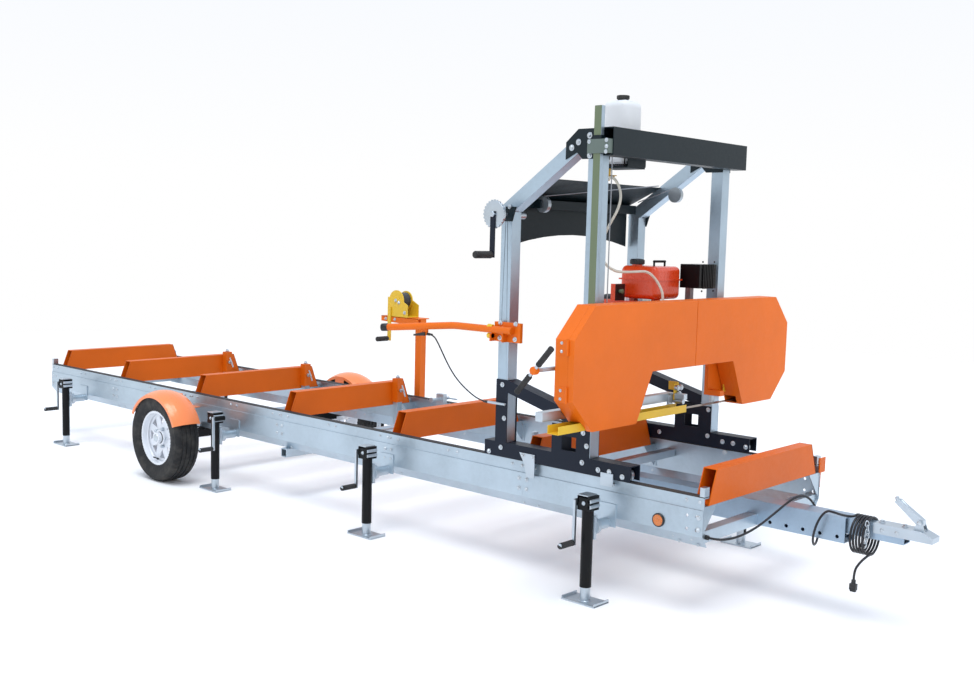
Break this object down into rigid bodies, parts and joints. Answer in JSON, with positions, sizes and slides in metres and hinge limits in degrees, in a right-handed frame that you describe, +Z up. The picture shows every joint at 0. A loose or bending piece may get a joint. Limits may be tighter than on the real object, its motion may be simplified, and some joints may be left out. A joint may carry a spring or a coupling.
{
  "type": "portable sawmill",
  "caption": "Portable band sawmill on a road trailer: a long bed with bunks and jacks, a rolling carriage and a lifting saw head with petrol engine.",
  "frame": {"origin": "on the ground under the middle of the whole machine's box", "axes": "+X towards the tow coupler, +Y towards the side with the log supports and winch, +Z up"},
  "size_m": [6.302, 1.895, 2.176],
  "materials": {
    "galvanised": "hot-dip galvanised sheet, pale blue-grey",
    "bright_steel": "zinc-plated steel",
    "orange_paint": "satin orange powder coat",
    "slate_paint": "satin blue-black powder coat",
    "black_paint": "satin black powder coat",
    "yellow_paint": "yellow enamel",
    "engine_red": "gloss orange-red enamel",
    "white_paint": "white wheel enamel",
    "blade_steel": "ground spring steel",
    "black_rubber": "moulded rubber",
    "black_plastic": "moulded plastic",
    "tank_plastic": "translucent water tank plastic",
    "tyre": "road tyre rubber",
    "post_steel": "galvanised square tube",
    "cable_black": "cable sheath"
  },
  "bodies": {
    "trailer": {"bed_rails": "galvanised", "running_strips": "black_paint", "log_bunks": "orange_paint", "cross_members": "bright_steel", "rail_end_stop": "orange_paint", "axle_beam": "galvanised", "fenders": "orange_paint", "trailer_tongue": "galvanised", "coupler_body": "bright_steel", "winch_post": "orange_paint", "winch_frame": "yellow_paint", "harness_lead": "cable_black", "harness_coil": "cable_black", "harness_plug": "black_plastic"},
    "near_wheel": {"near_tyre": "tyre", "near_rim": "white_paint"},
    "far_wheel": {"far_tyre": "tyre", "far_rim": "white_paint"},
    "latch": {"coupler_latch": "bright_steel"},
    "winch_handle": {"winch_crank": "bright_steel"},
    "winch_spool": {"winch_drum": "bright_steel"},
    "clamp": {"log_clamp": "bright_steel"},
    "carriage": {"carriage_frames": "slate_paint", "carriage_posts": "post_steel", "top_frame": "slate_paint", "water_tank": "tank_plastic", "push_handle": "orange_paint", "throttle_cable": "cable_black"},
    "front_roller_pair": {"front_rollers": "black_rubber"},
    "rear_roller_pair": {"rear_rollers": "black_rubber"},
    "height_wheel": {"height_crank": "bright_steel"},
    "throttle": {"throttle_lever": "black_paint"},
    "head": {"head_frame": "bright_steel", "guard_shell": "orange_paint", "blade": "blade_steel", "engine_block": "engine_red", "fuel_tank": "black_plastic", "drive_belt": "black_rubber"},
    "left_guard": {"left_door": "orange_paint"},
    "right_guard": {"right_door": "orange_paint"},
    "drive_band": {"drive_wheel": "galvanised"},
    "idler_band": {"idler_wheel": "galvanised"},
    "guide": {"guide_arm": "bright_steel", "blade_cover": "yellow_paint"},
    "tension": {"tension_handle": "orange_paint"},
    "jacks_1": {"jack_housing_1": "black_paint"},
    "jack_feet_1": {"jack_leg_1": "bright_steel"},
    "jack_cranks_1": {"jack_crank_1": "bright_steel"},
    "jacks_2": {"jack_housing_2": "black_paint"},
    "jack_feet_2": {"jack_leg_2": "bright_steel"},
    "jack_cranks_2": {"jack_crank_2": "bright_steel"},
    "jacks_3": {"jack_housing_3": "black_paint"},
    "jack_feet_3": {"jack_leg_3": "bright_steel"},
    "jack_cranks_3": {"jack_crank_3": "bright_steel"},
    "jacks_4": {"jack_housing_4": "black_paint"},
    "jack_feet_4": {"jack_leg_4": "bright_steel"},
    "jack_cranks_4": {"jack_crank_4": "bright_steel"},
    "support_1": {"log_support_1": "bright_steel"},
    "support_2": {"log_support_2": "bright_steel"},
    "support_3": {"log_support_3": "bright_steel"}
  },
  "joints": [
    {"name": "near_wheel_spin", "type": "hinge", "parent": "trailer", "child": "near_wheel", "pos_m": [-1.249, -0.6825, 0.265], "axis": [0, 1, 0], "continuous": true},
    {"name": "far_wheel_spin", "type": "hinge", "parent": "trailer", "child": "far_wheel", "pos_m": [-1.249, 0.7875, 0.265], "axis": [0, 1, 0], "continuous": true},
    {"name": "jack_swing_1", "type": "hinge", "parent": "trailer", "child": "jacks_1", "pos_m": [-2.666, 0.0525, 0.32], "axis": [0, 1, 0], "range_deg": [-90, 0]},
    {"name": "jack_leg_slide_1", "type": "slide", "parent": "jacks_1", "child": "jack_feet_1", "axis": [0, 0, 1], "range_m": [-0.19, 0.055]},
    {"name": "jack_crank_turn_1", "type": "hinge", "parent": "jacks_1", "child": "jack_cranks_1", "pos_m": [-2.706, 0.0525, 0.43], "axis": [0, 1, 0], "continuous": true},
    {"name": "jack_swing_2", "type": "hinge", "parent": "trailer", "child": "jacks_2", "pos_m": [-0.831, 0.0525, 0.32], "axis": [0, 1, 0], "range_deg": [-90, 0]},
    {"name": "jack_leg_slide_2", "type": "slide", "parent": "jacks_2", "child": "jack_feet_2", "axis": [0, 0, 1], "range_m": [-0.19, 0.055]},
    {"name": "jack_crank_turn_2", "type": "hinge", "parent": "jacks_2", "child": "jack_cranks_2", "pos_m": [-0.791, 0.0525, 0.43], "axis": [0, 1, 0], "continuous": true},
    {"name": "jack_swing_3", "type": "hinge", "parent": "trailer", "child": "jacks_3", "pos_m": [0.524, 0.0525, 0.32], "axis": [0, 1, 0], "range_deg": [-90, 0]},
    {"name": "jack_leg_slide_3", "type": "slide", "parent": "jacks_3", "child": "jack_feet_3", "axis": [0, 0, 1], "range_m": [-0.19, 0.055]},
    {"name": "jack_crank_turn_3", "type": "hinge", "parent": "jacks_3", "child": "jack_cranks_3", "pos_m": [0.484, 0.0525, 0.43], "axis": [0, 1, 0], "continuous": true},
    {"name": "jack_swing_4", "type": "hinge", "parent": "trailer", "child": "jacks_4", "pos_m": [1.933, 0.0525, 0.32], "axis": [0, 1, 0], "range_deg": [-90, 0]},
    {"name": "jack_leg_slide_4", "type": "slide", "parent": "jacks_4", "child": "jack_feet_4", "axis": [0, 0, 1], "range_m": [-0.19, 0.055]},
    {"name": "jack_crank_turn_4", "type": "hinge", "parent": "jacks_4", "child": "jack_cranks_4", "pos_m": [1.893, 0.0525, 0.43], "axis": [0, 1, 0], "continuous": true},
    {"name": "coupler_latch_lift", "type": "hinge", "parent": "trailer", "child": "latch", "pos_m": [3.089, 0.0525, 0.455], "axis": [0, 1, 0], "range_deg": [-34, 0]},
    {"name": "winch_crank_turn", "type": "hinge", "parent": "trailer", "child": "winch_handle", "pos_m": [-0.5875, 0.6055, 1.052], "axis": [0, 1, 0], "continuous": true},
    {"name": "winch_drum_turn", "type": "hinge", "parent": "trailer", "child": "winch_spool", "pos_m": [-0.5355, 0.6055, 1.11], "axis": [0, 1, 0], "continuous": true},
    {"name": "log_support_slide_1", "type": "slide", "parent": "trailer", "child": "support_1", "axis": [0, 0, 1], "range_m": [-0.045, 0.06]},
    {"name": "log_support_slide_2", "type": "slide", "parent": "trailer", "child": "support_2", "axis": [0, 0, 1], "range_m": [-0.045, 0.06]},
    {"name": "log_support_slide_3", "type": "slide", "parent": "trailer", "child": "support_3", "axis": [0, 0, 1], "range_m": [-0.045, 0.06]},
    {"name": "log_clamp_slide", "type": "slide", "parent": "trailer", "child": "clamp", "axis": [0, 1, 0], "range_m": [-0.25, 0.06]},
    {"name": "carriage_travel", "type": "slide", "parent": "trailer", "child": "carriage", "axis": [1, 0, 0], "range_m": [-1.4, 0.28]},
    {"name": "front_roller_turn", "type": "hinge", "parent": "carriage", "child": "front_roller_pair", "pos_m": [2.019, 0.0525, 0.54], "axis": [0, 1, 0], "continuous": true},
    {"name": "rear_roller_turn", "type": "hinge", "parent": "carriage", "child": "rear_roller_pair", "pos_m": [1.258, 0.0525, 0.54], "axis": [0, 1, 0], "continuous": true},
    {"name": "head_lift", "type": "slide", "parent": "carriage", "child": "head", "axis": [0, 0, 1], "range_m": [-0.1, 0.36]},
    {"name": "height_crank_turn", "type": "hinge", "parent": "carriage", "child": "height_wheel", "pos_m": [1.319, 0.0525, 1.64], "axis": [0, 1, 0], "continuous": true},
    {"name": "throttle_pull", "type": "hinge", "parent": "carriage", "child": "throttle", "pos_m": [0.886, 0.0525, 1.062], "axis": [0, 1, 0], "range_deg": [0, 11.5], "stiffness_Nm_per_rad": 0.3},
    {"name": "left_door_swing", "type": "hinge", "parent": "head", "child": "left_guard", "pos_m": [1.979, -0.8375, 0], "axis": [0, 0, 1], "range_deg": [-110, 0]},
    {"name": "right_door_swing", "type": "hinge", "parent": "head", "child": "right_guard", "pos_m": [1.979, 0.9425, 0], "axis": [0, 0, 1], "range_deg": [0, 110]},
    {"name": "drive_wheel_turn", "type": "hinge", "parent": "head", "child": "drive_band", "pos_m": [1.953, 0.6775, 1.012], "axis": [1, 0, 0], "continuous": true},
    {"name": "idler_wheel_turn", "type": "hinge", "parent": "head", "child": "idler_band", "pos_m": [1.953, -0.5725, 1.012], "axis": [1, 0, 0], "continuous": true},
    {"name": "guide_arm_slide", "type": "slide", "parent": "head", "child": "guide", "axis": [0, 1, 0], "range_m": [-0.3, 0.24]},
    {"name": "tension_handle_turn", "type": "hinge", "parent": "head", "child": "tension", "pos_m": [1.889, 0.0525, 1.012], "axis": [0, 1, 0], "continuous": true}
  ],
  "couplings": [
    {"joint": "jack_crank_turn_1", "follows": "jack_leg_slide_1", "rad_per_m": 1256.6},
    {"joint": "jack_crank_turn_2", "follows": "jack_leg_slide_2", "rad_per_m": 1256.6},
    {"joint": "jack_crank_turn_3", "follows": "jack_leg_slide_3", "rad_per_m": 1256.6},
    {"joint": "jack_crank_turn_4", "follows": "jack_leg_slide_4", "rad_per_m": 1256.6},
    {"joint": "winch_drum_turn", "follows": "winch_crank_turn", "ratio": -0.2},
    {"joint": "front_roller_turn", "follows": "carriage_travel", "rad_per_m": 38.462},
    {"joint": "rear_roller_turn", "follows": "carriage_travel", "rad_per_m": 38.462},
    {"joint": "height_crank_turn", "follows": "head_lift", "rad_per_m": 50},
    {"joint": "idler_wheel_turn", "follows": "drive_wheel_turn", "ratio": 1}
  ]
}
